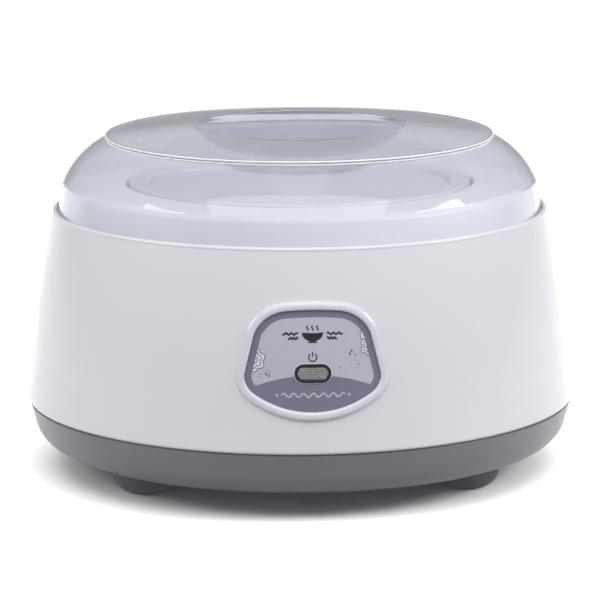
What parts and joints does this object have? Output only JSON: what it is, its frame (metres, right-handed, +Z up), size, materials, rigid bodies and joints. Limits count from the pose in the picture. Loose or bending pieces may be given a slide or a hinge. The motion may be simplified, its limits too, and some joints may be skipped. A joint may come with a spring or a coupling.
{
  "type": "yogurt maker",
  "caption": "Round electric yogurt maker: white tapered body on a grey footed base, clear domed cover with a sunk bar grip, lift-out container and a shield-shaped lamp panel.",
  "frame": {"origin": "centre of the circle that the feet stand on, in the plane of the table", "axes": "+Z up, control panel towards -Y, cord inlet towards +Y"},
  "size_m": [0.2002, 0.2005, 0.1254],
  "materials": {
    "housing_white": "glossy moulded plastic",
    "liner_white": "glossy moulded plastic",
    "base_grey": "satin moulded plastic",
    "foot_grey": "soft satin",
    "cover_clear": "clear, polished",
    "container_white": "translucent, smooth",
    "container_lid_white": "translucent, smooth",
    "seal_silicone": "matt silicone",
    "panel_white": "polished",
    "panel_plate": "moulded",
    "label_print": "printed film, satin",
    "frame_black": "polished",
    "lens_clear": "patterned clear plastic",
    "lamp_glass": "clear",
    "holder_white": "moulded",
    "plate_aluminium": "brushed",
    "heater_case": "rolled sheet",
    "insulator_mica": "pressed sheet",
    "spring_steel": "rolled sheet",
    "screw_steel": "zinc plated",
    "fuse_metal": "plated",
    "terminal_white": "moulded",
    "terminal_brass": "machined",
    "lead_brown": "extruded",
    "lead_blue": "extruded",
    "lead_white": "extruded",
    "grommet_grey": "moulded rubber",
    "rating_foil": "satin foil, blank"
  },
  "bodies": {
    "base_unit": {"outer_housing": "housing_white", "well_liner": "liner_white", "base_pan": "base_grey", "foot_front_left": "foot_grey", "foot_front_right": "foot_grey", "foot_rear_left": "foot_grey", "foot_rear_right": "foot_grey", "base_screws": "screw_steel", "cord_grommet": "grommet_grey", "rating_plate": "rating_foil", "panel_bezel": "panel_white", "panel_plate": "panel_plate", "panel_label": "label_print", "lamp_window_frame": "frame_black", "lamp_lens": "lens_clear", "lamp_holder": "holder_white", "neon_lamp": "lamp_glass", "heating_plate": "plate_aluminium", "plate_screws": "screw_steel", "ptc_heater": "heater_case", "heater_insulator": "insulator_mica", "heater_clamp": "spring_steel", "clamp_screws": "screw_steel", "thermal_fuse": "fuse_metal", "fuse_clip": "spring_steel", "terminal_block": "terminal_white", "terminal_screws": "terminal_brass", "live_lead": "lead_brown", "link_lead": "lead_white", "neutral_lead": "lead_blue", "lamp_lead_left": "lead_brown", "lamp_lead_right": "lead_blue"},
    "inner_container": {"inner_container": "container_white"},
    "container_lid": {"container_lid": "container_lid_white", "lid_seal": "seal_silicone"},
    "outer_cover": {"outer_cover": "cover_clear"}
  },
  "joints": [
    {"name": "container_lift", "type": "slide", "parent": "base_unit", "child": "inner_container", "axis": [0, 0, 1], "range_m": [0, 0.1]},
    {"name": "container_lid_lift", "type": "slide", "parent": "inner_container", "child": "container_lid", "axis": [0, 0, 1], "range_m": [0, 0.05]},
    {"name": "cover_lift", "type": "slide", "parent": "container_lid", "child": "outer_cover", "axis": [0, 0, 1], "range_m": [0, 0.08]}
  ]
}
